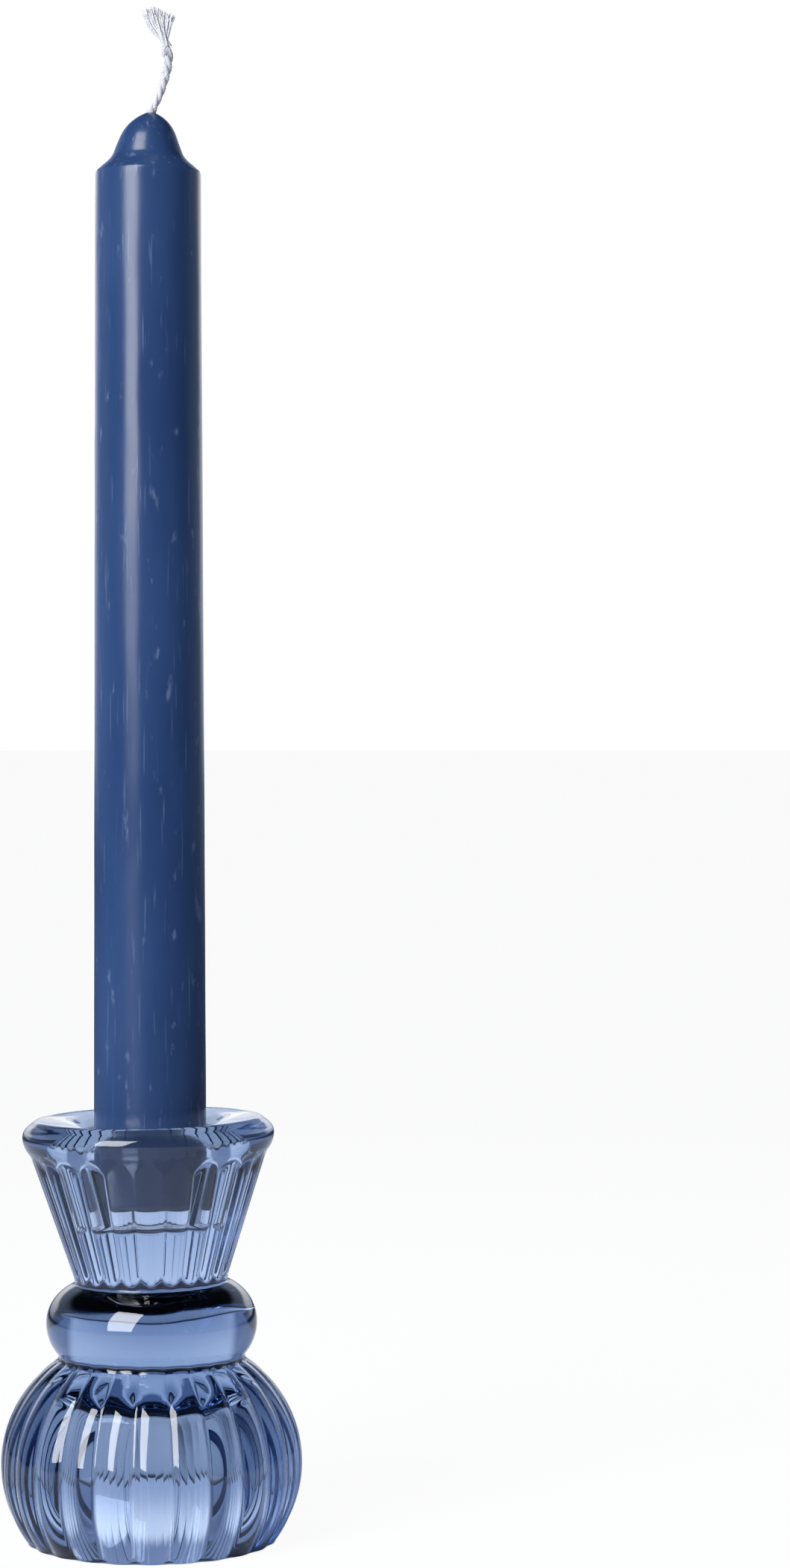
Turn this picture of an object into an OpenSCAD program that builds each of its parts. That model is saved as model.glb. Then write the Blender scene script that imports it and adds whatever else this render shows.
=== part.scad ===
// Ribbed pressed-glass candlestick with a dinner candle.
// Millimetres, +Z up. The origin is the centre of the foot, on the surface that the foot stands on.
// The glass is one pressing: a ribbed globe, a smooth ring and a ribbed cone that holds the candle.
// The candle lifts straight out of the cone and takes its three-yarn wick with it.

/* [Ribs] */
// Number of ribs around the globe, and around the cone
rib_count = 24; // [18:1:30]
// Depth of the valleys between the globe's ribs
globe_rib_depth = 1.4; // [0.8:0.1:2]
// Depth of the valleys between the cone's ribs
cone_rib_depth = 0.9; // [0.5:0.1:1.2]

/* [Globe] */
// Radius of the globe over its ribs
globe_r = 31.6; // [31:0.1:33]
// Height of the globe's widest point
globe_z = 16; // [15.5:0.1:16.5]
// Radius of the globe's outline over its ribs, seen from the side
globe_outline_r = 26; // [25.5:0.1:26.5]
// Radius of the smooth band that the globe stands on
foot_r = 25.7; // [25:0.1:26]
// Height of the smooth band that the globe stands on
foot_h = 1.4; // [1:0.1:2]
// Radius of the hollow in the globe, at the foot
hollow_r = 18.4; // [17:0.1:19]
// Height of the hollow's ceiling above the foot
hollow_h = 27; // [22:0.5:29]

/* [Ring] */
// Radius of the ring between the globe and the cone
ring_r = 22.1; // [21.5:0.1:23]
// Height of the ring's widest point
ring_z = 45.8; // [45:0.1:46.5]
// Radius of the ring's outline, seen from the side
ring_outline_r = 10; // [9.5:0.1:10.5]

/* [Cone] */
// Radius over the ribs where the cone leaves the ring
cone_foot_r = 16; // [15.5:0.1:16.5]
// Height at which the cone has that radius
cone_foot_z = 55; // [54.5:0.1:55.5]
// Slope of the cone's ribs from the vertical, in degrees
cone_slope = 18.4; // [18:0.1:18.8]
// Radius over the rounded bead under the rim
bead_r = 26.4; // [26.2:0.1:26.8]
// Height of the bead's widest point
bead_z = 85; // [84.8:0.1:85.6]
// Height of the rim's crest above the foot
rim_z = 88.6; // [88.4:0.1:89]

/* [Socket] */
// Height of the socket's floor above the foot
socket_floor_z = 67; // [66:0.1:68]
// Radius of the socket at its floor
socket_floor_r = 11.3; // [11.2:0.05:11.6]
// Radius of the socket at its mouth
socket_mouth_r = 13.9; // [13.9:0.1:14.2]

/* [Candle] */
// Length of the wax from its foot to the tip of its dome
candle_h = 227.7; // [150:0.1:250]
// Radius of the candle at its foot
candle_foot_r = 11.8; // [11.5:0.05:11.85]
// Radius of the candle at its shoulder
candle_shoulder_r = 11.1; // [10.5:0.05:11.2]
// Gap between the candle's foot and the tapered socket
candle_gap = 0.2; // [0.1:0.05:0.3]
// Height of the dome above the shoulder
dome_h = 13; // [12:0.5:14]

/* [Wick] */
// Radius of one yarn of the wick
yarn_r = 0.52; // [0.4:0.02:0.54]
// Sideways offset of the wick from the candle's axis
wick_x = 0.6; // [0:0.1:1.5]
// Length of wick for one turn of its yarns
yarn_pitch = 7; // [6:0.5:12]

/* [Hidden] */
$fn = 72;

glass_colour = [0.47, 0.6, 0.84, 0.6];
wax_colour = [0.2, 0.3, 0.47];
yarn_colour = [0.93, 0.92, 0.9];
cut = 1;                                  // how far a cutter runs past the face that it cuts
rib_points = 4;                           // points along one rib's section
round_points = rib_points * rib_count;

// The globe's and the ring's outlines are arcs whose centres stand off the axis.
globe_centre = [globe_r - globe_outline_r, globe_z];
ring_centre = [ring_r - ring_outline_r, ring_z];
waist_r = 20;                             // radius of the groove where the ring sits on the globe
hollow_draft = 2;                         // how much narrower the hollow is at its ceiling

bead_section_r = 2.6;
bead_centre = [bead_r - bead_section_r, bead_z];
crest_section_r = 1.5;
crest_centre = [23, rim_z - crest_section_r];
mouth_z = bead_z - 1;                     // the socket's taper ends at this height
lip_z = rim_z - 1;                        // the rim's top dishes in to this height around the mouth
lip_r = 16;
dish_r = lip_r + 0.8;

// The candle rests where its foot meets the socket's taper.
socket_taper = (socket_mouth_r - socket_floor_r) / (mouth_z - socket_floor_z);
candle_foot_z = socket_floor_z + (candle_foot_r + candle_gap - socket_floor_r) / socket_taper;
candle_top_z = candle_foot_z + candle_h;
shoulder_z = candle_top_z - dome_h;
foot_chamfer = 0.6;
collar_r = 7.4;                           // radius of the dome where the shoulder's slope meets it
collar_h = 3.6;                           // height of that slope
dome_steps = 12;
wick_bore_r = 1.2;

// Three yarns lie around the wick's middle line, just clear of one another.
yarn_orbit = 0.63;
yarn_sides = 8;
yarn_fray = 0.75;                         // radius of a yarn's loose end as a share of its own
turn_steps = 14;                          // rings along one turn of the yarns

// Middle line of the bare wick above the tip of the dome: it bows to one side and leans back.
wick_route = [[0, 0, 0], [0.9, 0, 2.2], [1.8, 0.2, 4.7], [2.5, 0.3, 8], [2.9, 0.2, 11.5],
              [2.5, 0, 14.7], [1.7, 0, 17.4]];
// Loose end of each yarn, from the place around the middle line where it comes free.
yarn_ends = [[[-1.6, -0.2, 2], [-3.6, -0.4, 4.6]],
             [[0.7, 0.3, 1.7], [2.4, 0.5, 3.3]],
             [[1.1, -0.6, 0.6], [3.6, -0.8, 1.4]]];

// Points [radius, height] along an arc of the outline.
function arc(centre, radius, from, to, steps) =
    [for (i = [0:steps])
        let (a = from + (to - from) * i / steps)
        centre + radius * [cos(a), sin(a)]];

// The same points as rows [radius, height, rib depth], with one depth for all of them.
function rows(points, depth) = [for (p = points) [p[0], p[1], depth]];

// Radius over the cone's ribs at height z.
function cone_r(z) = cone_foot_r + (z - cone_foot_z) * tan(cone_slope);

// Outline of the glass from the foot to the mouth, as rows [radius, height, rib depth].
function glass_rows() =
    let (foot_angle = -asin((globe_z - foot_h) / globe_outline_r),
         waist_angle = acos((waist_r - globe_centre[0]) / globe_outline_r),
         ring_low = -acos((waist_r - ring_centre[0]) / ring_outline_r),
         ring_high = acos((cone_foot_r - ring_centre[0]) / ring_outline_r),
         rib_top_z = bead_z - 2.8)
    concat([[foot_r - 0.4, 0, 0], [foot_r, 0.4, 0], [foot_r, foot_h, 0]],
           rows(arc(globe_centre, globe_outline_r, foot_angle, foot_angle + 6, 1), globe_rib_depth / 2),
           rows(arc(globe_centre, globe_outline_r, foot_angle + 12, waist_angle - 12, 7), globe_rib_depth),
           rows(arc(globe_centre, globe_outline_r, waist_angle - 6, waist_angle, 1), globe_rib_depth / 2),
           rows(arc(ring_centre, ring_outline_r, ring_low, ring_high, 8), 0),
           [[cone_r(cone_foot_z + 0.4), cone_foot_z + 0.4, cone_rib_depth * 0.6],
            [cone_r(rib_top_z), rib_top_z, cone_rib_depth]],
           rows(arc(bead_centre, bead_section_r, -30, 60, 5), 0),
           rows(arc(crest_centre, crest_section_r, 30, 102, 4), 0),
           [[dish_r, lip_z, 0]]);

// Radius of the round's point number k on a row: the ribs are rounded, with narrow valleys between them.
function ribbed(row, k) =
    let (across = abs((k / rib_points + 0.5) % 1 - 0.5) * 2)
    row[0] - row[2] * across * across;

// Radius of the dome at height z, which falls off like a paraboloid.
function dome_r(z) = collar_r * sqrt((candle_top_z - z) / (dome_h - collar_h));

// Point of a smooth curve through the points p, at u from 0 at the first to len(p) - 1 at the last.
function clamped(p, i) = p[max(0, min(len(p) - 1, i))];
function on_curve(p, u) =
    let (i = min(floor(u), len(p) - 2), t = u - i,
         a = clamped(p, i - 1), b = clamped(p, i), c = clamped(p, i + 1), d = clamped(p, i + 2))
    0.5 * (2 * b + (c - a) * t + (2 * a - 5 * b + 4 * c - d) * t * t
           + (3 * b - a - 3 * c + d) * t * t * t);

// Point at an angle and a distance from a line's point, square to the line's direction.
function unit(v) = v / norm(v);
function beside(point, along, angle, distance) =
    let (side = unit(cross(along, [0, 1, 0])), up = cross(side, unit(along)))
    point + distance * (cos(angle) * side + sin(angle) * up);

// Direction of a row of points at number k.
function direction(points, k) = points[min(k + 1, len(points) - 1)] - points[max(k - 1, 0)];

// Solid glass inside the outline, before it is hollowed.
module glass_blank() {
    outline = glass_rows();
    last = len(outline) - 1;
    points = [for (row = outline, k = [0:round_points - 1])
                  let (a = 360 * k / round_points)
                  [ribbed(row, k) * cos(a), ribbed(row, k) * sin(a), row[1]]];
    sides = [for (j = [0:last - 1], k = [0:round_points - 1])
                 let (a = j * round_points + k, b = j * round_points + (k + 1) % round_points)
                 each [[a, a + round_points, b], [b, a + round_points, b + round_points]]];
    caps = [[for (k = [0:round_points - 1]) k],
            [for (k = [round_points - 1:-1:0]) last * round_points + k]];
    polyhedron(points = points, faces = concat(sides, caps), convexity = 6);
}

module socket() {
    rotate_extrude()
        polygon([[0, socket_floor_z], [socket_floor_r, socket_floor_z], [socket_mouth_r, mouth_z],
                 [lip_r, lip_z], [lip_r, lip_z + cut], [0, lip_z + cut]]);
}

module hollow() {
    translate([0, 0, -cut])
        cylinder(h = hollow_h + cut, r1 = hollow_r, r2 = hollow_r - hollow_draft);
}

module glass_holder() {
    color(glass_colour)
        difference() {
            glass_blank();
            socket();
            hollow();
        }
}

module candle_wax() {
    dome_foot_z = shoulder_z + collar_h;
    outline = [for (i = [0:dome_steps])
                   let (z = dome_foot_z + (candle_top_z - dome_foot_z) * i / dome_steps) [dome_r(z), z]];
    color(wax_colour)
        difference() {
            rotate_extrude()
                polygon(concat([[0, candle_foot_z], [candle_foot_r - foot_chamfer, candle_foot_z],
                                [candle_foot_r, candle_foot_z + foot_chamfer],
                                [candle_shoulder_r, shoulder_z]], outline));
            translate([wick_x, 0, candle_foot_z - cut])
                cylinder(h = candle_h + 2 * cut, r = wick_bore_r);
        }
}

// Yarn number i runs straight through the wax and then winds around the wick's middle line to its loose end.
module wick_yarn(i) {
    last = len(wick_route) - 1;
    turns = wick_route[last][2] / yarn_pitch;
    steps = ceil(turns * turn_steps);
    middle = [for (s = [0:steps]) [wick_x, 0, candle_top_z] + on_curve(wick_route, last * s / steps)];
    angles = [for (s = [0:steps]) 120 * i + 360 * turns * (s / steps - 1)];
    wound = [for (s = [0:steps])
                 beside(middle[s], s == 0 ? [0, 0, 1] : direction(middle, s), angles[s], yarn_orbit)];
    foot = [wound[0][0], wound[0][1], candle_foot_z];
    centres = concat([foot], wound, [for (p = yarn_ends[i]) wound[steps] + p]);
    count = len(centres);
    points = [for (k = [0:count - 1], j = [0:yarn_sides - 1])
                  beside(centres[k], k < 2 ? [0, 0, 1] : direction(centres, k), 360 * j / yarn_sides,
                         k < count - 1 ? yarn_r : yarn_r * yarn_fray)];
    sides = [for (k = [0:count - 2], j = [0:yarn_sides - 1])
                 let (a = k * yarn_sides + j, b = k * yarn_sides + (j + 1) % yarn_sides)
                 [a, b, b + yarn_sides, a + yarn_sides]];
    caps = [[for (j = [yarn_sides - 1:-1:0]) j], [for (j = [0:yarn_sides - 1]) (count - 1) * yarn_sides + j]];
    color(yarn_colour)
        polyhedron(points = points, faces = concat(sides, caps), convexity = 4);
}

module wick_yarn_a() wick_yarn(0);
module wick_yarn_b() wick_yarn(1);
module wick_yarn_c() wick_yarn(2);

glass_holder();
candle_wax();
wick_yarn_a();
wick_yarn_b();
wick_yarn_c();
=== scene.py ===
"""Ribbed blue glass candlestick with a dinner candle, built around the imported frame.

Lengths are in metres, except that the points of every curve are in millimetres. The wick's points are
measured from the tip of the candle's dome.
"""

import math

import bpy
import numpy as np
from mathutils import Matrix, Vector


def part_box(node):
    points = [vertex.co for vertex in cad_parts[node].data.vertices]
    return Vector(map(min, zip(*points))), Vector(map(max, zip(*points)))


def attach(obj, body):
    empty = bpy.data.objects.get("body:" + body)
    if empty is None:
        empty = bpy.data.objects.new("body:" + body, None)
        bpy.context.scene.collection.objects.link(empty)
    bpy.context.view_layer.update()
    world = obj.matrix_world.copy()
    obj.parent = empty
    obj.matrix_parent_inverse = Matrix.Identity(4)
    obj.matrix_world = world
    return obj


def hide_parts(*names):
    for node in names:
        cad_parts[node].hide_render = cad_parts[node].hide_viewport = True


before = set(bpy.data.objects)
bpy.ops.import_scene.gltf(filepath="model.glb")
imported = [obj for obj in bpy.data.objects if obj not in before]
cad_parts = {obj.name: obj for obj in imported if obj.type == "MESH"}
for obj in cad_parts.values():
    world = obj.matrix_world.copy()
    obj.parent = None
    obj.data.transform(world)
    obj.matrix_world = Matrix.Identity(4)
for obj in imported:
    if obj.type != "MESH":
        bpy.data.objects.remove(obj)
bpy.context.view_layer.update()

MM = 0.001
glass_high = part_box("glass_holder")[1]
wax_low, wax_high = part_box("candle_wax")

# Ribs round the globe and the cone
RIBS = 24
RIB_PITCH = 2 * math.pi / RIBS
STEPS_PER_RIB = 15
VALLEY_FILLET = 0.25 * MM

# Globe: the arc of its outline and the radius of its ribs
GLOBE_R = glass_high.x
GLOBE_Z = 16 * MM
GLOBE_OUTLINE_R = 26 * MM
GLOBE_RIB_R = 5.5 * MM
GLOBE_END_Z = 42 * MM

# Smooth ring: the arc of its outline, a little flatter above its middle, and the waist under it
RING_R = 22.1 * MM
RING_Z = 45.8 * MM
RING_OUTLINE_R = 10 * MM
RING_TOP_SHARE = 0.91
WAIST_Z = 38.5 * MM
WAIST_H = 3 * MM
WAIST_FILLET = 3.2 * MM
LEAST_FILLET = 0.01 * MM

# Cone: its ribs are a share of its radius, so they widen upwards
CONE_FOOT_R = 16 * MM
CONE_FOOT_Z = 55 * MM
CONE_START_Z = 48 * MM
CONE_SLOPE = math.tan(math.radians(18.4))
CONE_RIB_SHARE = 0.18
CONE_LEAST_R = 4 * MM
CONE_FILLET = 0.35 * MM
LIP_FILLET = 0.4 * MM

# Rim: the lip that spreads out under the bead, then the bead and the dished top back to the socket
LIP_POINTS = [(16, 70), (20.5, 76), (22, 77.7), (23.3, 79.2), (24.2, 80.5), (25, 81.6), (25.6, 82.5),
              (26, 83.4), (26.25, 84.2), (26.35, 85)]
RIM_POINTS = [(13.9, 4.6), (14.15, 3.4), (14.6, 2.3), (15.5, 1.45), (17, 0.95), (18.8, 0.65), (20.6, 0.4),
              (22, 0.15), (23, 0), (23.75, 0.2), (24.25, 0.6), (24.75, 1), (25.35, 1.45), (25.95, 2.15),
              (26.28, 2.9), (26.35, 3.6)]

# Socket: the round corner of its floor, then its taper
SOCKET_FLOOR_Z = 67 * MM
SOCKET_FLOOR_POINTS = [(2, 0), (6, 0), (9, 0), (10.2, 0.06), (10.9, 0.35), (11.32, 1), (11.5, 2)]
SOCKET_TAPER_FOOT = (11.5 * MM, SOCKET_FLOOR_Z + 2 * MM)
SOCKET_TAPER_SPREAD = 2.3 * MM
SOCKET_TAPER_H = 14.8 * MM

# Foot and the hollow that is open underneath
FOOT_R = 26 * MM
FOOT_BAND_H = 1.2 * MM
FOOT_BAND_SLOPE = 3
FOOT_EDGE_R = 0.5 * MM
FOOT_FILLET = 0.4 * MM
HOLLOW_R = 18.4 * MM
HOLLOW_TOP_R = 16.4 * MM
HOLLOW_Z = 27 * MM
HOLLOW_FILLET = 2 * MM
HOLLOW_CROWN = 0.1 * MM
HOLLOW_EDGE_POINTS = [(5.5, 0), (3, 0), (1, 0), (0.4, 0.15), (0.05, 0.7)]
HOLLOW_CEILING_RADII = (12, 8, 4, 1.5)

# Rows of the mesh down the outside, closer together where the outline turns: from, to and how many
OUTSIDE_ROWS = [(85, 78.5, 28), (78, 58, 18), (57.4, 53, 16), (52.4, 43, 18), (42.4, 35, 20),
                (34.4, 5, 48), (4.6, 0.5, 12)]

# Unevenness of the pressing, which is stronger about the ring
RIPPLE_WAVES = 9
GLASS_RIPPLE = 0.05 * MM
RING_RIPPLE = 0.12 * MM
RING_RIPPLE_H = 6 * MM
HOLLOW_RIPPLE = 0.06 * MM

# Candle: the slight hollow under its foot, the foot's round edge as steps in from its radius and up,
# and its shoulder and dome, each point a radius and a distance below the tip. The dome's tip is drawn
# aside to the wick.
WAX_STEPS_ROUND = 160
WAX_STEPS_UP = 160
WAX_FOOT_POINTS = [(2, 0.2), (6, 0.1), (10, 0)]
WAX_EDGE_POINTS = [(1, 0), (0.5, 0.08), (0.15, 0.35), (0, 0.9)]
WAX_SIDE_Z = 1.4 * MM
SHOULDER_R = 11.05 * MM
SHOULDER_DROP = 13.1 * MM
DOME_H = 9 * MM
DOME_POINTS = [(11.02, 12.85), (10.85, 12.5), (10.4, 12.1), (9.7, 11.45), (8.8, 10.7), (8.0, 9.9),
               (7.5, 9.2), (7.22, 8.6), (6.85, 7.6), (6.38, 6.4), (5.86, 5.1), (5.2, 3.85), (4.25, 2.55),
               (2.9, 1.35), (1.5, 0.5), (0.5, 0.08)]
WICK_X = 0.6 * MM
WAX_RIPPLE = 0.05 * MM
WAX_KNOCKS = 34

# Wick: three plies of five strands wound round its middle line, which starts inside the wax
WICK_PITCH = 7 * MM
WICK_ROUTE = [(0.3, 0, -3), (0.42, 0, -1.4), (0.65, 0, 0), (1.35, 0, 1.6), (2.3, 0.15, 3.6),
              (3.2, 0.3, 6.2), (3.9, 0.3, 9), (4.15, 0.15, 12), (3.8, 0, 14)]
STRANDS = 5
STRAND_PITCH = 3.2 * MM
PLY_ORBIT = 0.54 * MM
PLY_R = 0.6 * MM
PLY_SIDES = 20
PLY_POINTS = 130
STRAY_HAIRS = 9
HAIR_RADII = (0.05, 0.025)
HAIR_POINTS = 6

# Loose end of each ply: where its fibres pass half way up, and the two ends of the edge they reach
PLY_FANS = [{"middle": (0.4, 2.0), "left": (-1.2, 21.2), "right": (0.9, 21.8)},
            {"middle": (1.7, 3.3), "left": (0.5, 21.8), "right": (2.8, 21.3)},
            {"middle": (3.1, 4.7), "left": (3.1, 21.0), "right": (5.6, 19.9)}]
FAN_FIBRES = 80
FAN_FOOT_WIDTH = 0.8 * MM
FAN_MIDDLE_Z = 17.6
FIBRE_SPREADS = [(0.05, 0.2, 0.3), (0.12, 0.35, 0.2), (0.16, 0.45, 0.22)]
FIBRE_RADII = (0.15, 0.085)
FIBRE_POINTS = 9
FIBRE_SIDES = 5
FIBRE_TOP_Z = 321.2 * MM

# The glass and the candle both stand a touch out of true.
LEAN_Z = 50 * MM
LEAN_START_Z = LEAN_Z - 4 * MM
LEAN_H = 10 * MM
GLASS_LEAN = math.radians(1.1)
CANDLE_SHIFT = -0.3 * MM
CANDLE_LEAN = -0.0013

# Colours of the glass, the wax and the cotton
GLASS_FACE = (0.97, 0.98, 1, 1)
GLASS_TINT = (0.01, 0.22, 0.5, 1)
GLASS_DENSITY = 44
WAX_DEEP = (0.014, 0.036, 0.105, 1)
WAX_LIGHT = (0.021, 0.05, 0.135, 1)
WAX_BLOOM = (0.2, 0.26, 0.4, 1)
# In each cotton pair the first colour is painted shade between the hairs and the second is the cotton
# itself; faint random clouds mix the two as well.
COTTON = ((0.52, 0.52, 0.55, 1), (0.6, 0.6, 0.62, 1))
LOOSE_COTTON = ((0.76, 0.76, 0.79, 1), (0.82, 0.82, 0.84, 1))

# Studio, as the glass sees it. Each span is where one part of it gives way to the next: the height of
# a direction, how far it points back, or the distance out across the table.
WHITE = (1, 1, 1, 1)
BACKDROP_FOOT = (0.8, 0.9, 1.12, 1)
BACKDROP = (1.62, 1.62, 1.65, 1)
BACKDROP_RISE = (0.02, 0.2)
BACKDROP_TOP = (0.22, 0.29)
BACKDROP_SIDE = (0.7, 0.8)
WALLS_FRONT = (0.1, 0.14, 0.25, 1)
WALLS_BACK = (0.38, 0.48, 0.7, 1)
WALLS_TURN = (-0.2, 0.3)
OVERHEAD = (0.02, 0.025, 0.035, 1)
OVERHEAD_RISE = (0.42, 0.56)
# Table: its colour fades from pale near the object to dark far out. This is painted shade for the studio
# light falling off across it.
TABLE_NEAR = (0.84, 0.9, 1, 1)
TABLE_PAINTED_SHADE = (0.1, 0.12, 0.16, 1)
TABLE_SHADE_SPAN = (0.35, 0.9)
FLOOR_HALF = 30
FLOOR_GLOW = 0.95
SOFTBOX_POWER = 160
SOFTBOX_TARGET = (0, 0, 0.03)

# Camera: where it stands, its lens in millimetres, and how far it looks aside and down
EYE_Z = 0.170
EYE_DISTANCE = 0.802
LENS = 87.7
SENSOR = 36
LOOK_ASIDE = math.radians(3.65)
LOOK_DOWN = math.radians(0.82)


# ---------------------------------------------------------------- curves and meshes

def smooth_max(a, b, blend):
    """The larger of two arrays, with the corner between them rounded over a height of about blend."""
    share = np.clip(0.5 + 0.5 * (a - b) / blend, 0, 1)
    return b + (a - b) * share + blend * share * (1 - share)


def curve_through(points, steps):
    """Smooth curve through the points, with steps pieces between each two."""
    p = np.array(points, float)
    p = np.vstack([2 * p[0] - p[1], p, 2 * p[-1] - p[-2]])
    out = []
    for k in range(1, len(p) - 2):
        a, b, c, d = p[k - 1:k + 3]
        for t in np.arange(steps) / steps:
            out.append(0.5 * (2 * b + (c - a) * t + (2 * a - 5 * b + 4 * c - d) * t ** 2
                              + (3 * b - a - 3 * c + d) * t ** 3))
    return np.array(out + [p[-2]])


def ripple(turn, z, seed, size):
    """Faint waves over a round surface at height z, the same on each run."""
    draw = np.random.default_rng(seed)
    out = np.zeros(np.broadcast(turn, z).shape)
    for _ in range(RIPPLE_WAVES):
        times_round = draw.integers(1, 9)
        rise = draw.uniform(-260, 260)
        out += np.sin(times_round * turn + rise * z + draw.uniform(0, 2 * math.pi)) / RIPPLE_WAVES
    return size * out


def full_turn(steps):
    """Angles of that many steps round one turn."""
    return np.arange(steps) * 2 * math.pi / steps


def ring_of(radius, z, turn, centre_x=0.0):
    """Level ring of points, one for each angle of turn."""
    radius = np.broadcast_to(radius, turn.shape)
    return np.stack([centre_x + radius * np.cos(turn), radius * np.sin(turn),
                     np.broadcast_to(z, turn.shape)], 1)


def tube_faces(base, count, sides):
    """Faces of a closed tube whose rings start at vertex base, with its two middle points after them."""
    faces = []
    for j in range(count - 1):
        for k in range(sides):
            a, b = base + j * sides + k, base + j * sides + (k + 1) % sides
            faces.append((a, b, b + sides, a + sides))
    low, high, last = base + sides * count, base + sides * count + 1, base + (count - 1) * sides
    for k in range(sides):
        faces.append((low, base + (k + 1) % sides, base + k))
        faces.append((high, last + k, last + (k + 1) % sides))
    return faces


def join_tubes(name, tubes):
    """One piece from closed tubes, each a list of rings; the first has material 0 and the rest have 1."""
    verts, faces, slots, base = [], [], [], 0
    for number, rings in enumerate(tubes):
        middles = [rings[0].mean(0)[None], rings[-1].mean(0)[None]]
        verts.append(np.concatenate(rings + middles))
        tube = tube_faces(base, len(rings), len(rings[0]))
        faces += tube
        slots += [min(number, 1)] * len(tube)
        base += len(verts[-1])
    mesh = bpy.data.meshes.new(name)
    mesh.from_pydata(np.concatenate(verts).tolist(), [], faces)
    mesh.polygons.foreach_set("material_index", slots)
    mesh.polygons.foreach_set("use_smooth", [True] * len(mesh.polygons))
    piece = bpy.data.objects.new(name, mesh)
    bpy.context.scene.collection.objects.link(piece)
    return piece


# ---------------------------------------------------------------- glass holder

def arc_radius(z, centre_r, centre_z, radius):
    """Radius at height z of an arc of the outline, and 0 above and below it."""
    inside = radius ** 2 - (z - centre_z) ** 2
    return np.where(inside > 0, centre_r + np.sqrt(np.maximum(inside, 0)), 0.0)


def ribbed(crest_r, rib_r, turn):
    """Radius of a round of convex ribs with narrow, slightly filleted valleys."""
    phase = np.abs((turn / RIB_PITCH + 0.5) % 1 - 0.5) * RIB_PITCH
    middle = crest_r - rib_r

    def one_rib(angle):
        across = np.minimum(np.abs(middle * np.sin(angle)), rib_r)
        return middle * np.cos(angle) + np.sqrt(rib_r ** 2 - across ** 2)

    return smooth_max(one_rib(phase), one_rib(RIB_PITCH - phase), VALLEY_FILLET)


LIP_CURVE = MM * curve_through(LIP_POINTS, 6)


def outside_radius(z, turn):
    """Radius of the holder's outside at height z, from the foot to the bead's widest point."""
    globe_crest = arc_radius(z, GLOBE_R - GLOBE_OUTLINE_R, GLOBE_Z, GLOBE_OUTLINE_R)
    globe = ribbed(np.maximum(globe_crest, GLOBE_RIB_R), GLOBE_RIB_R, turn)
    globe = np.where(z < GLOBE_END_Z, globe, 0)
    band = np.maximum(FOOT_R - np.maximum(z - FOOT_BAND_H, 0) * FOOT_BAND_SLOPE, 0)
    foot = smooth_max(globe, band, FOOT_FILLET)

    above_ring = (z - RING_Z) / (RING_TOP_SHARE if z > RING_Z else 1)
    ring = arc_radius(above_ring, RING_R - RING_OUTLINE_R, 0, RING_OUTLINE_R)
    waist = WAIST_FILLET * np.exp(-((z - WAIST_Z) / WAIST_H) ** 2) + LEAST_FILLET
    lower = smooth_max(foot, ring, waist)

    cone_crest = np.maximum(CONE_FOOT_R + (z - CONE_FOOT_Z) * CONE_SLOPE, CONE_LEAST_R)
    cone = ribbed(cone_crest, cone_crest * CONE_RIB_SHARE, turn)
    lip = np.interp(z, LIP_CURVE[:, 1], LIP_CURVE[:, 0])
    upper = np.where(z > CONE_START_Z, smooth_max(cone, lip, LIP_FILLET), 0)
    return smooth_max(lower, upper, CONE_FILLET)


def socket_rings(turn):
    """From the middle of the socket's floor up its taper and over the rim to the bead."""
    rows = [(r * MM, SOCKET_FLOOR_Z + rise * MM) for r, rise in curve_through(SOCKET_FLOOR_POINTS, 3)]
    foot_r, foot_z = SOCKET_TAPER_FOOT
    for share in np.linspace(0.06, 0.94, 16):
        rows.append((foot_r + share * SOCKET_TAPER_SPREAD, foot_z + share * SOCKET_TAPER_H))
    for r, drop in curve_through(RIM_POINTS, 4)[:-1]:
        rows.append((r * MM, glass_high.z - drop * MM))
    return [ring_of(r, z, turn) for r, z in rows]


def outside_rings(turn):
    """From the bead down the outside and round the foot's edge."""
    rings = []
    for z in MM * np.concatenate([np.linspace(*row) for row in OUTSIDE_ROWS]):
        near_ring = math.exp(-((z - RING_Z) / RING_RIPPLE_H) ** 2)
        shift = ripple(turn, z, seed=5, size=GLASS_RIPPLE + RING_RIPPLE * near_ring)
        rings.append(ring_of(outside_radius(z, turn) + shift, z, turn))
    edge = outside_radius(FOOT_EDGE_R, turn)
    for angle in np.radians([25, 50, 75, 90]):
        inward = FOOT_EDGE_R * (1 - np.cos(angle))
        rings.append(ring_of(edge - inward, FOOT_EDGE_R * (1 - np.sin(angle)), turn))
    return rings


def hollow_rings(turn):
    """From the flat of the foot into the hollow, up its side and across its ceiling."""
    rings = [ring_of(HOLLOW_R + beyond * MM, z * MM, turn) for beyond, z in HOLLOW_EDGE_POINTS]
    edge_z = HOLLOW_EDGE_POINTS[-1][1] * MM
    for share in np.linspace(0.05, 1, 20):
        r = HOLLOW_R + (HOLLOW_TOP_R - HOLLOW_R) * share
        z = edge_z + (HOLLOW_Z - HOLLOW_FILLET - edge_z) * share
        rings.append(ring_of(r + ripple(turn, z, seed=11, size=HOLLOW_RIPPLE), z, turn))
    for angle in np.radians([15, 30, 45, 60, 75, 90]):
        r = HOLLOW_TOP_R - HOLLOW_FILLET * (1 - np.cos(angle))
        rings.append(ring_of(r, HOLLOW_Z - HOLLOW_FILLET * (1 - np.sin(angle)), turn))
    for r in HOLLOW_CEILING_RADII:
        rings.append(ring_of(r * MM, HOLLOW_Z + HOLLOW_CROWN, turn))
    return rings


def leaning(points):
    """The points with the cone turned a little about the ring, as the pressing came out of its mould."""
    share = np.clip((points[:, 2] - LEAN_START_Z) / LEAN_H, 0, 1)
    angle = GLASS_LEAN * share * share * (3 - 2 * share)
    moved = points.copy()
    moved[:, 0] -= (points[:, 2] - LEAN_Z) * angle
    moved[:, 2] += points[:, 0] * angle
    return moved


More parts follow.
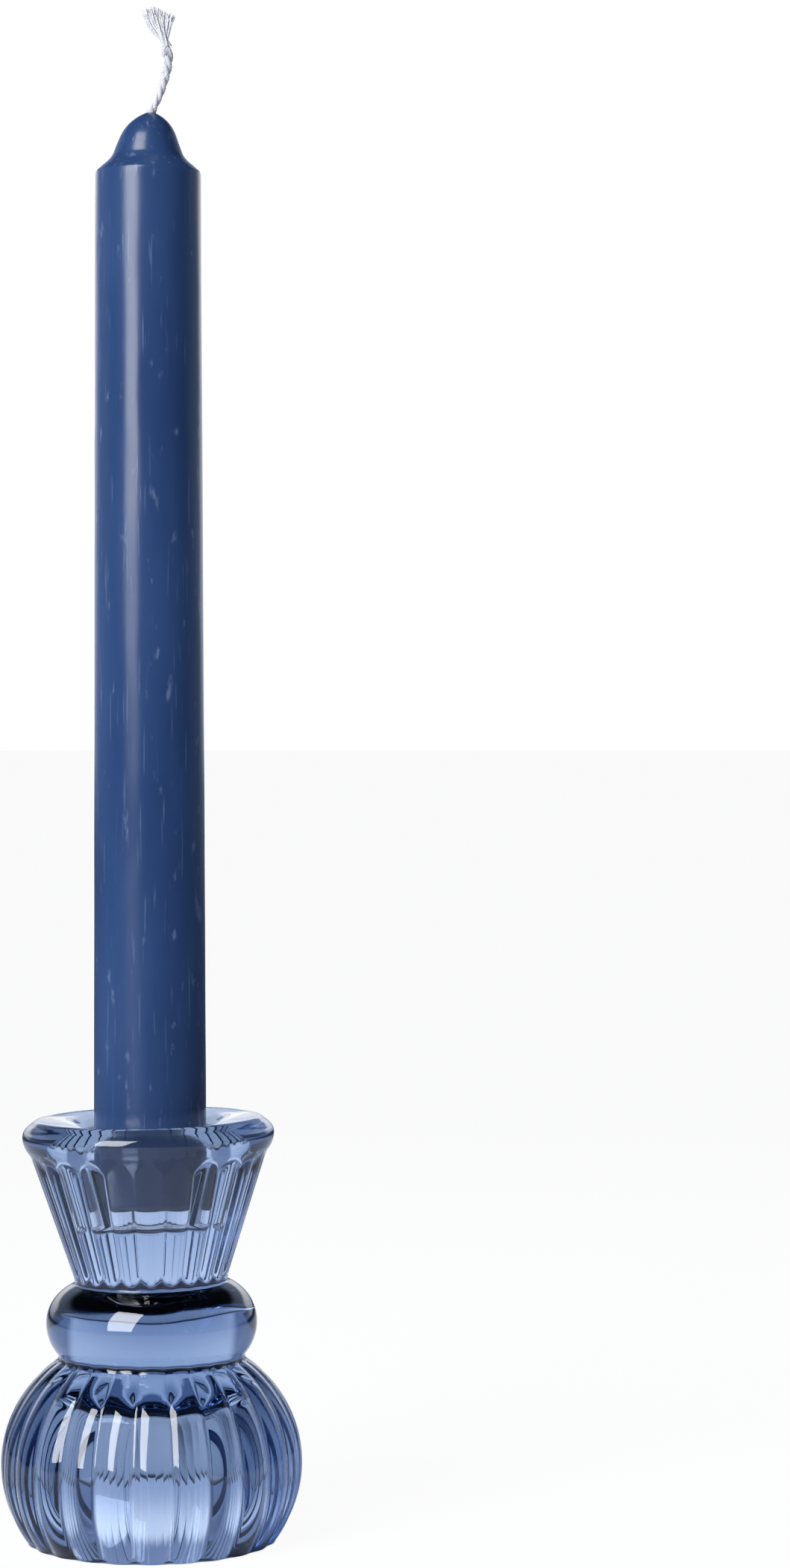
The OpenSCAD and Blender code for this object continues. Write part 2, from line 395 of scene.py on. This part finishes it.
def make_glass():
    """The holder as one closed skin."""
    turn = full_turn(RIBS * STEPS_PER_RIB)
    rings = socket_rings(turn) + outside_rings(turn) + hollow_rings(turn)
    return join_tubes("glass_holder_skin", [[leaning(ring) for ring in rings[::-1]]])


# ---------------------------------------------------------------- candle

def candle_centre(z):
    """How far the candle's middle line stands aside at height z."""
    return CANDLE_SHIFT + (z - wax_low.z) * CANDLE_LEAN


def draw_knocks():
    """Shallow knocks in the wax: angle and height of each, its width, its height and its depth."""
    draw = np.random.default_rng(8)
    knocks = []
    for _ in range(WAX_KNOCKS):
        angle = draw.uniform(0, 2 * math.pi)
        height = wax_low.z + draw.uniform(0.05, 0.99) * (wax_high.z - wax_low.z)
        wide = draw.uniform(0.05, 0.14)
        tall = draw.uniform(1, 5) * MM
        deep = draw.uniform(-0.09, 0.04) * MM
        knocks.append((angle, height, wide, tall, deep))
    return knocks


def wax_dents(turn, z, knocks):
    """Change of the candle's radius at height z: faint waves and the knocks."""
    out = ripple(turn, z, seed=21, size=WAX_RIPPLE)
    for angle, height, wide, tall, deep in knocks:
        off = (turn - angle + math.pi) % (2 * math.pi) - math.pi
        out = out + deep * np.exp(-(off / wide) ** 2 - ((z - height) / tall) ** 2)
    return out


def make_wax():
    """The candle: its foot, the tapered side, the shoulder's slope and the dome, turned as one solid."""
    turn = full_turn(WAX_STEPS_ROUND)
    foot, foot_r, top = wax_low.z, wax_high.x, wax_high.z
    rows = [(r * MM, foot + rise * MM) for r, rise in WAX_FOOT_POINTS]
    rows += [(foot_r - inset * MM, foot + rise * MM) for inset, rise in WAX_EDGE_POINTS]
    side_foot, side_top = foot + WAX_SIDE_Z, top - SHOULDER_DROP
    for share in np.linspace(0, 1, WAX_STEPS_UP):
        rows.append((foot_r + (SHOULDER_R - foot_r) * share, side_foot + (side_top - side_foot) * share))
    for r, drop in curve_through(DOME_POINTS, 4):
        rows.append((r * MM, top - drop * MM))
    knocks = draw_knocks()
    rings = []
    for r, z in rows:
        dent = wax_dents(turn, z, knocks) if r > 3 * MM and z > foot + 1 * MM else 0
        slip = WICK_X * max(0, 1 - (top - z) / DOME_H) ** 2
        rings.append(ring_of(r + dent, z, turn, candle_centre(z) + slip))
    return join_tubes("candle_wax_body", [rings])


# ---------------------------------------------------------------- wick

def along(path, count):
    """Points spread evenly along a smooth curve through path, with its direction and length up to each."""
    fine = curve_through(path, 24)
    run = np.concatenate([[0], np.cumsum(np.linalg.norm(np.diff(fine, axis=0), axis=1))])
    want = np.linspace(0, run[-1], count)
    points = np.stack([np.interp(want, run, fine[:, k]) for k in range(3)], 1)
    ahead = np.gradient(points, axis=0)
    return points, ahead / np.linalg.norm(ahead, axis=1)[:, None], want


def beside(ahead, angle, distance):
    """Offsets at an angle and a distance from a curve, square to it."""
    side = np.cross(ahead, [0.0, 1.0, 0.0])
    side /= np.linalg.norm(side, axis=1)[:, None]
    up = np.cross(side, ahead)
    return distance * (np.cos(angle)[:, None] * side + np.sin(angle)[:, None] * up)


def yarn_rings(points, ahead, radius, sides, strands=0, twist=None):
    """Rings of a tube along the points; with strands, its section is lobed and the lobes wind round it."""
    rings = []
    around = full_turn(sides)
    for k in range(len(points)):
        r = np.full(sides, radius[k])
        if strands:
            r = r * (0.9 + 0.12 * np.abs(np.cos(strands / 2 * (around - twist[k]))) ** 0.7)
        rings.append(points[k] + beside(np.repeat(ahead[k][None], sides, 0), around, 1.0) * r[:, None])
    return rings


def thread(path, count, radii):
    """Rings of a thin thread along path, whose radius goes from the first to the second of radii."""
    points, ahead, _ = along(path, count)
    return yarn_rings(points, ahead, np.linspace(*radii, count) * MM, FIBRE_SIDES)


def fan_fibres(fan, foot, base, draw):
    """Fibres of a ply's loose end, from its foot out to the edge that the scissors left."""
    left, right = [np.array([x, 0, z]) for x, z in (fan["left"], fan["right"])]
    middle_left, middle_right = fan["middle"]
    tubes = []
    for share in np.linspace(0, 1, FAN_FIBRES):
        loose = draw.normal(0, 1, (3, 3)) * FIBRE_SPREADS * MM
        start = foot + np.array([share - 0.5, 0, 0]) * FAN_FOOT_WIDTH + loose[0]
        middle_x = middle_left + (middle_right - middle_left) * share
        middle = base + np.array([middle_x, 0, FAN_MIDDLE_Z]) * MM + loose[1]
        tip = base + (left * (1 - share) + right * share) * MM + loose[2]
        tip[2] = min(tip[2], FIBRE_TOP_Z)
        tubes.append(thread([start - (0, 0, 1.5 * MM), start, middle, tip], FIBRE_POINTS, FIBRE_RADII))
    return tubes


def stray_hairs(points, ahead, draw):
    """Short hairs that stand off a ply."""
    tubes = []
    for _ in range(STRAY_HAIRS):
        at = draw.integers(30, len(points) - 12)
        out = beside(ahead[at:at + 1], draw.uniform(0, 2 * math.pi, 1), 1.0)[0]
        start = points[at] + out * PLY_R * 0.85
        middle = start + (out * 0.2 + ahead[at] * 0.3) * MM
        tip = start + (out * 0.26 + ahead[at] * 0.8) * MM
        tubes.append(thread([start, middle, tip], HAIR_POINTS, HAIR_RADII))
    return tubes


def make_ply(number, name):
    """One ply of the wick: a cord of strands round the wick's line, its loose end and its stray hairs."""
    draw = np.random.default_rng(40 + number)
    base = np.array([candle_centre(wax_high.z), 0, wax_high.z])
    points, ahead, run = along(base + MM * np.array(WICK_ROUTE), PLY_POINTS)
    end = run[-1]
    # The plies lie close together low down, and each is thicker where it comes out of the wax.
    orbit = PLY_ORBIT * np.interp(run, [0, 9 * MM, 14 * MM, end], [0.62, 0.62, 1, 1])
    radius = PLY_R * np.interp(run, [0, 3 * MM, 4.5 * MM, end - MM, end], [1.35, 1.25, 1.05, 1, 0.8])
    wind = 2 * math.pi * (run / WICK_PITCH + number / 3)
    points = points + beside(ahead, wind, 1.0) * orbit[:, None]
    tubes = [yarn_rings(points, ahead, radius, PLY_SIDES, STRANDS, -2 * math.pi * run / STRAND_PITCH)]
    tubes += fan_fibres(PLY_FANS[number], points[-4], base, draw)
    tubes += stray_hairs(points, ahead, draw)
    return join_tubes(name, tubes)


# ---------------------------------------------------------------- materials

def new_material(name):
    """A material with its node tree and its shader."""
    material = bpy.data.materials.new(name)
    material.use_nodes = True
    return material, material.node_tree, material.node_tree.nodes["Principled BSDF"]


def stretched_noise(tree, scale, stretch, detail):
    """Noise over the object's own coordinates, drawn out along each axis; its scale is per metre."""
    where = tree.nodes.new("ShaderNodeTexCoord")
    mapping = tree.nodes.new("ShaderNodeMapping")
    mapping.inputs["Scale"].default_value = [1 / s for s in stretch]
    noise = tree.nodes.new("ShaderNodeTexNoise")
    noise.inputs["Scale"].default_value = scale
    noise.inputs["Detail"].default_value = detail
    tree.links.new(where.outputs["Object"], mapping.inputs["Vector"])
    tree.links.new(mapping.outputs[0], noise.inputs["Vector"])
    return noise.outputs[0]


def scale_range(tree, source, span, to=(0, 1)):
    """A value that goes smoothly from one end of to to the other as source crosses span."""
    node = tree.nodes.new("ShaderNodeMapRange")
    node.interpolation_type = "SMOOTHSTEP"
    for socket, value in zip(("From Min", "From Max", "To Min", "To Max"), span + to):
        node.inputs[socket].default_value = value
    tree.links.new(source, node.inputs["Value"])
    return node.outputs["Result"]


def math_of(tree, operation, a, b):
    """Result of a math node whose inputs are each a number or another node's output."""
    node = tree.nodes.new("ShaderNodeMath")
    node.operation = operation
    for socket, value in zip(node.inputs, (a, b)):
        if isinstance(value, (int, float)):
            socket.default_value = value
        else:
            tree.links.new(value, socket)
    return node.outputs[0]


def mixed_colour(tree, share, first, second):
    """Mix of two colours, each a constant or another node's output."""
    node = tree.nodes.new("ShaderNodeMix")
    node.data_type = "RGBA"
    tree.links.new(share, node.inputs[0])
    for socket, value in ((node.inputs[6], first), (node.inputs[7], second)):
        if isinstance(value, tuple):
            socket.default_value = value
        else:
            tree.links.new(value, socket)
    return node.outputs[2]


def bumped(tree, height, distance, below=None):
    """Normal of a surface raised by height, on top of the bumps below it."""
    node = tree.nodes.new("ShaderNodeBump")
    node.inputs["Distance"].default_value = distance
    tree.links.new(height, node.inputs["Height"])
    if below:
        tree.links.new(below, node.inputs["Normal"])
    return node.outputs[0]


def glass_material():
    """Clear blue glass: its colour comes from its depth."""
    material, tree, shader = new_material("blue_glass")
    shader.inputs["Base Color"].default_value = GLASS_FACE
    shader.inputs["Roughness"].default_value = 0.0
    shader.inputs["IOR"].default_value = 1.5
    shader.inputs["Transmission Weight"].default_value = 1
    absorb = tree.nodes.new("ShaderNodeVolumeAbsorption")
    absorb.inputs["Color"].default_value = GLASS_TINT
    absorb.inputs["Density"].default_value = GLASS_DENSITY
    tree.links.new(absorb.outputs[0], tree.nodes["Material Output"].inputs["Volume"])
    return material


def wax_material():
    """Dyed wax: mottled, with fine upright scratches and paler scuffs."""
    material, tree, shader = new_material("blue_wax")
    mottle = stretched_noise(tree, scale=70, stretch=(1, 1, 4), detail=4)
    scratch = stretched_noise(tree, scale=1500, stretch=(1, 1, 26), detail=3)
    scuff = stretched_noise(tree, scale=420, stretch=(1, 1, 3), detail=6)
    pale = scale_range(tree, scuff, (0.63, 0.74))
    lines = scale_range(tree, scratch, (0.62, 0.72))
    worn = math_of(tree, "MAXIMUM", pale, math_of(tree, "MULTIPLY", lines, 0.6))
    body = mixed_colour(tree, scale_range(tree, mottle, (0.3, 0.7)), WAX_DEEP, WAX_LIGHT)
    colour = mixed_colour(tree, math_of(tree, "MULTIPLY", worn, 0.35), body, WAX_BLOOM)
    tree.links.new(colour, shader.inputs["Base Color"])
    tree.links.new(scale_range(tree, mottle, (0.3, 0.7), to=(0.17, 0.27)), shader.inputs["Roughness"])
    shader.inputs["Specular IOR Level"].default_value = 0.4
    shader.inputs["Subsurface Weight"].default_value = 0.12
    shader.inputs["Subsurface Radius"].default_value = (0.4, 0.7, 1.0)
    shader.inputs["Subsurface Scale"].default_value = 0.002
    soft = bumped(tree, mottle, 0.12 * MM)
    tree.links.new(bumped(tree, worn, 0.015 * MM, soft), shader.inputs["Normal"])
    return material


def cotton_material(name, shade, light):
    """Bleached cotton: fine hairs along each ply, with painted shade that greys it a little between them,
    and faint random clouds of tone.
    """
    material, tree, shader = new_material(name)
    hairs = stretched_noise(tree, scale=5200, stretch=(1, 1, 7), detail=3)
    cloud = stretched_noise(tree, scale=700, stretch=(1, 1, 1.5), detail=2)
    both = math_of(tree, "MULTIPLY", math_of(tree, "ADD", hairs, cloud), 0.5)
    # The hair noise that raises the bump also picks the colour, so the darker colour is painted shade in
    # the grooves between the hairs.
    colour = mixed_colour(tree, scale_range(tree, both, (0.38, 0.6)), shade, light)
    tree.links.new(colour, shader.inputs["Base Color"])
    shader.inputs["Roughness"].default_value = 0.95
    shader.inputs["Specular IOR Level"].default_value = 0.2
    shader.inputs["Subsurface Weight"].default_value = 0.5
    shader.inputs["Subsurface Radius"].default_value = (1.0, 1.0, 1.0)
    shader.inputs["Subsurface Scale"].default_value = 0.001
    tree.links.new(bumped(tree, hairs, 0.012 * MM), shader.inputs["Normal"])
    return material


# ---------------------------------------------------------------- stage

def make_floor():
    """Pale table whose colour is painted darker further out, as painted shade for the studio light falling
    off; it looks evenly white to the camera.
    """
    corners = [(-FLOOR_HALF, -FLOOR_HALF, 0), (FLOOR_HALF, -FLOOR_HALF, 0),
               (FLOOR_HALF, FLOOR_HALF, 0), (-FLOOR_HALF, FLOOR_HALF, 0)]
    mesh = bpy.data.meshes.new("floor")
    mesh.from_pydata(corners, [], [(0, 1, 2, 3)])
    floor = bpy.data.objects.new("floor", mesh)
    bpy.context.scene.collection.objects.link(floor)
    material, tree, shader = new_material("floor_white")
    where = tree.nodes.new("ShaderNodeTexCoord")
    distance = tree.nodes.new("ShaderNodeVectorMath")
    distance.operation = "LENGTH"
    tree.links.new(where.outputs["Object"], distance.inputs[0])
    # Painted shade: the floor's colour darkens with distance out from the middle.
    painted_falloff = scale_range(tree, distance.outputs["Value"], TABLE_SHADE_SPAN)
    tree.links.new(mixed_colour(tree, painted_falloff, TABLE_NEAR, TABLE_PAINTED_SHADE), shader.inputs["Base Color"])
    shader.inputs["Roughness"].default_value = 0.7
    shader.inputs["Specular IOR Level"].default_value = 0.05
    glow = tree.nodes.new("ShaderNodeEmission")
    path = tree.nodes.new("ShaderNodeLightPath")
    mix = tree.nodes.new("ShaderNodeMixShader")
    tree.links.new(math_of(tree, "MULTIPLY", path.outputs["Is Camera Ray"], FLOOR_GLOW), mix.inputs[0])
    tree.links.new(shader.outputs[0], mix.inputs[1])
    tree.links.new(glow.outputs[0], mix.inputs[2])
    tree.links.new(mix.outputs[0], tree.nodes["Material Output"].inputs["Surface"])
    floor.data.materials.append(material)


def make_world():
    """A bright backdrop behind the object, dim walls, and the dark of the studio above them."""
    world = bpy.data.worlds.new("studio")
    bpy.context.scene.world = world
    world.use_nodes = True
    tree = world.node_tree
    where = tree.nodes.new("ShaderNodeTexCoord")
    split = tree.nodes.new("ShaderNodeSeparateXYZ")
    tree.links.new(where.outputs["Generated"], split.inputs[0])
    back, up = split.outputs["Y"], split.outputs["Z"]
    backdrop = mixed_colour(tree, scale_range(tree, up, BACKDROP_RISE), BACKDROP_FOOT, BACKDROP)
    walls = mixed_colour(tree, scale_range(tree, back, WALLS_TURN), WALLS_FRONT, WALLS_BACK)
    room = mixed_colour(tree, scale_range(tree, up, OVERHEAD_RISE), walls, OVERHEAD)
    behind = scale_range(tree, back, BACKDROP_SIDE)
    below_top = scale_range(tree, up, BACKDROP_TOP, to=(1, 0))
    light = mixed_colour(tree, math_of(tree, "MULTIPLY", behind, below_top), room, backdrop)
    path = tree.nodes.new("ShaderNodeLightPath")
    seen = mixed_colour(tree, path.outputs["Is Camera Ray"], light, WHITE)
    tree.links.new(seen, tree.nodes["Background"].inputs["Color"])
    tree.nodes["Background"].inputs["Strength"].default_value = 1


def direction(azimuth, elevation):
    """Unit vector from the object, from degrees: azimuth 0 is towards the camera, below 0 to its left."""
    aside, rise = math.radians(azimuth), math.radians(elevation)
    return Vector((math.sin(aside) * math.cos(rise), -math.cos(aside) * math.cos(rise), math.sin(rise)))


def make_softbox(azimuth, elevation, distance, size):
    """A large soft light that shines on the object and doesn't show itself to the camera."""
    data = bpy.data.lights.new("softbox", "AREA")
    data.shape = "RECTANGLE"
    data.size, data.size_y = size
    data.energy = SOFTBOX_POWER
    lamp = bpy.data.objects.new("softbox", data)
    bpy.context.scene.collection.objects.link(lamp)
    out = direction(azimuth, elevation)
    lamp.location = Vector(SOFTBOX_TARGET) + out * distance
    lamp.visible_camera = False
    lamp.rotation_mode = "QUATERNION"
    lamp.rotation_quaternion = out.to_track_quat("Z", "Y")


def make_camera():
    """The camera in front of the candlestick, a little above its middle."""
    data = bpy.data.cameras.new("camera")
    data.sensor_fit = "AUTO"
    data.sensor_width = SENSOR
    data.lens = LENS
    data.clip_start, data.clip_end = 0.05, 100
    camera = bpy.data.objects.new("camera", data)
    bpy.context.scene.collection.objects.link(camera)
    camera.location = (0, -EYE_DISTANCE, EYE_Z)
    camera.rotation_euler = (math.radians(90) - LOOK_DOWN, 0, -LOOK_ASIDE)
    bpy.context.scene.camera = camera


# ---------------------------------------------------------------- build

make_camera()
make_world()
make_floor()
make_softbox(azimuth=-37, elevation=32, distance=3.0, size=(1.5, 2.9))
bpy.context.scene.view_settings.view_transform = "Standard"

glass = make_glass()
glass.data.materials.append(glass_material())
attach(glass, "holder")
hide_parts("glass_holder")

wax = make_wax()
wax.data.materials.append(wax_material())
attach(wax, "candle")
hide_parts("candle_wax")

cotton = cotton_material("wick_cotton", *COTTON)
loose_cotton = cotton_material("wick_fibres", *LOOSE_COTTON)
for number, letter in enumerate("abc"):
    ply = make_ply(number, "wick_ply_" + letter)
    ply.data.materials.append(cotton)
    ply.data.materials.append(loose_cotton)
    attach(ply, "candle")
    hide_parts("wick_yarn_" + letter)
